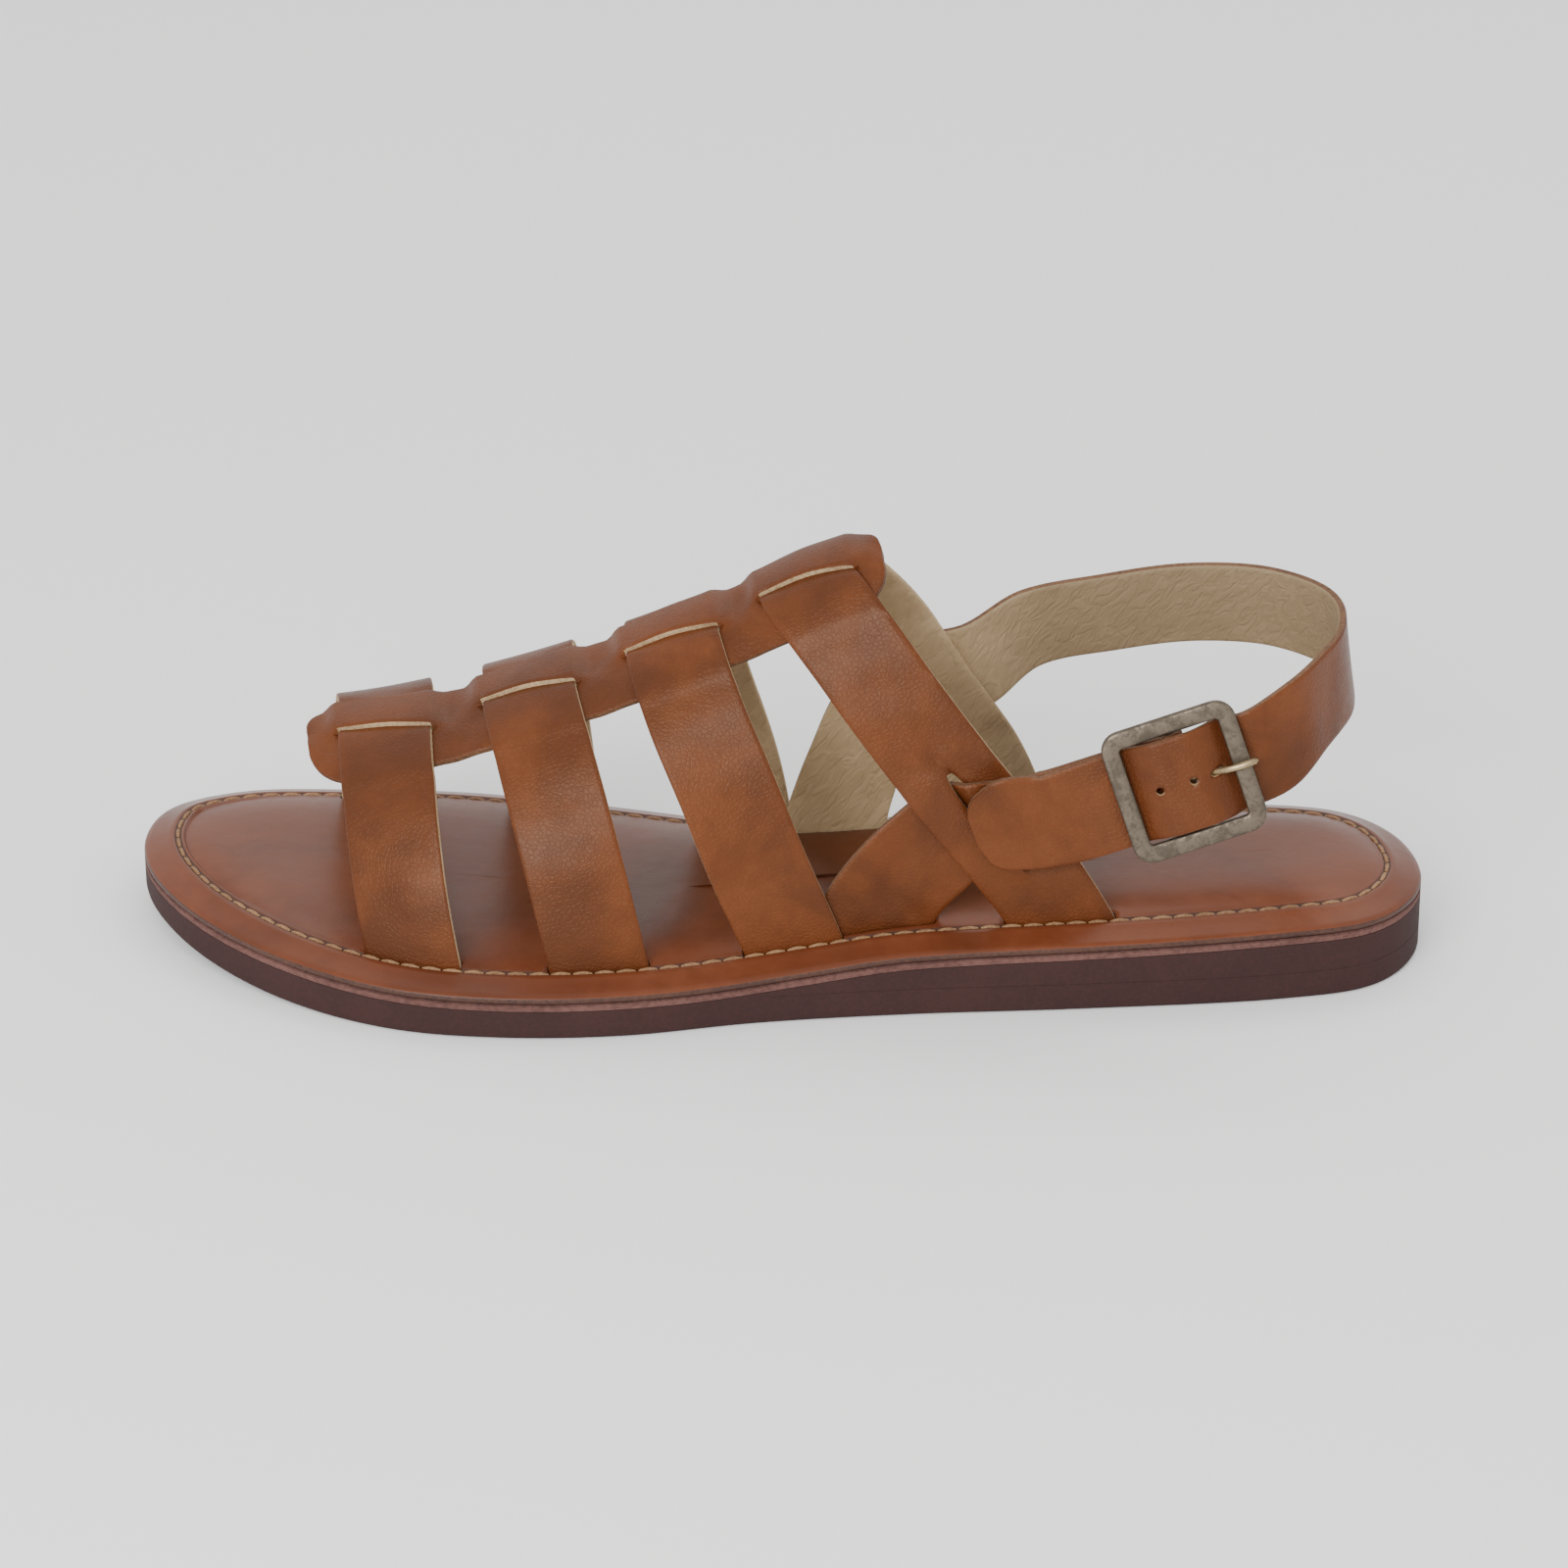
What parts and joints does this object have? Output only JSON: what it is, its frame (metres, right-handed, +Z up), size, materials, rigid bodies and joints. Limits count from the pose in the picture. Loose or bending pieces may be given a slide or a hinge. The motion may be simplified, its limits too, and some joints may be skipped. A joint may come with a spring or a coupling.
{
  "type": "flat leather sandal",
  "caption": "Flat leather sandal, left foot: cross straps woven through a central spine band, quarter straps and a buckled heel strap on a stitched footbed over a low rubber sole.",
  "frame": {"origin": "centre of the bounding box seen from above, on the floor under the sole", "axes": "+X from heel to toe, +Y to the outer side of the foot where the buckle is, +Z up"},
  "size_m": [0.2926, 0.103, 0.0984],
  "materials": {
    "outsole": "matte crumb rubber",
    "heel_wedge": "matte crumb rubber",
    "midsole": "raw cut edge",
    "insole": "glossy pull-up leather",
    "upper": "glossy pull-up leather",
    "heel_strap": "glossy pull-up leather",
    "buckle_strap": "glossy pull-up leather",
    "buckle_frame": "antique, rubbed",
    "buckle_pin": "antique, rubbed"
  },
  "bodies": {
    "root": {"outsole": "outsole", "heel_wedge": "heel_wedge", "midsole": "midsole", "insole": "insole", "upper": "upper", "heel_strap": "heel_strap", "buckle_strap": "buckle_strap", "buckle_frame": "buckle_frame", "buckle_pin": "buckle_pin"}
  },
  "joints": []
}
